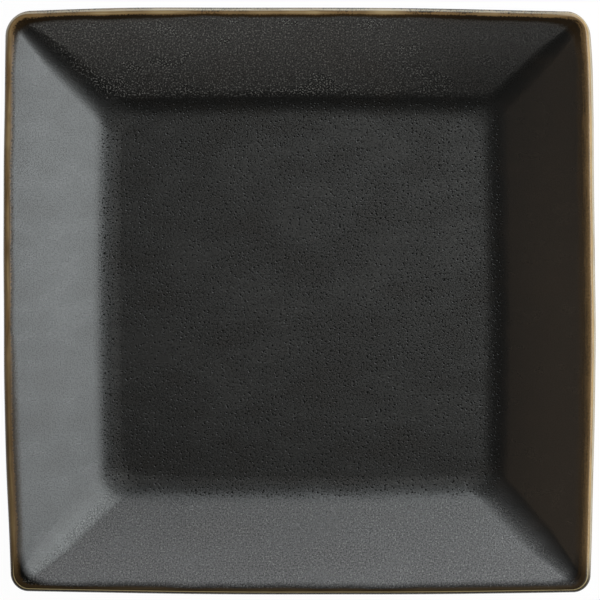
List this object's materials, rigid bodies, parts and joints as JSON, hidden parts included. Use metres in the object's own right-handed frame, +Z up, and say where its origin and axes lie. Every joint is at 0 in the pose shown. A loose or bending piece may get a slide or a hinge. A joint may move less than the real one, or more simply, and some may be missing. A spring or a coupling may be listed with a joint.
{
  "type": "square plate",
  "caption": "Square dished plate with a flat well, sloping walls that meet in mitred corners, a rounded lip and an unglazed foot ring, for serving food.",
  "frame": {"origin": "centre of the plane that the foot ring stands on", "axes": "+Z up out of the well, +X and +Y square to the sides"},
  "size_m": [0.26, 0.26, 0.027],
  "materials": {
    "bare_stoneware": "dry unglazed clay",
    "satin_black_glaze": "satin, finely pitted",
    "brown_rim_glaze": "satin, thin where it breaks over the lip"
  },
  "bodies": {
    "root": {"stoneware_body": "bare_stoneware", "face_glaze": "satin_black_glaze", "rim_glaze": "brown_rim_glaze", "back_glaze": "satin_black_glaze", "foot_recess_glaze": "satin_black_glaze"}
  },
  "joints": []
}
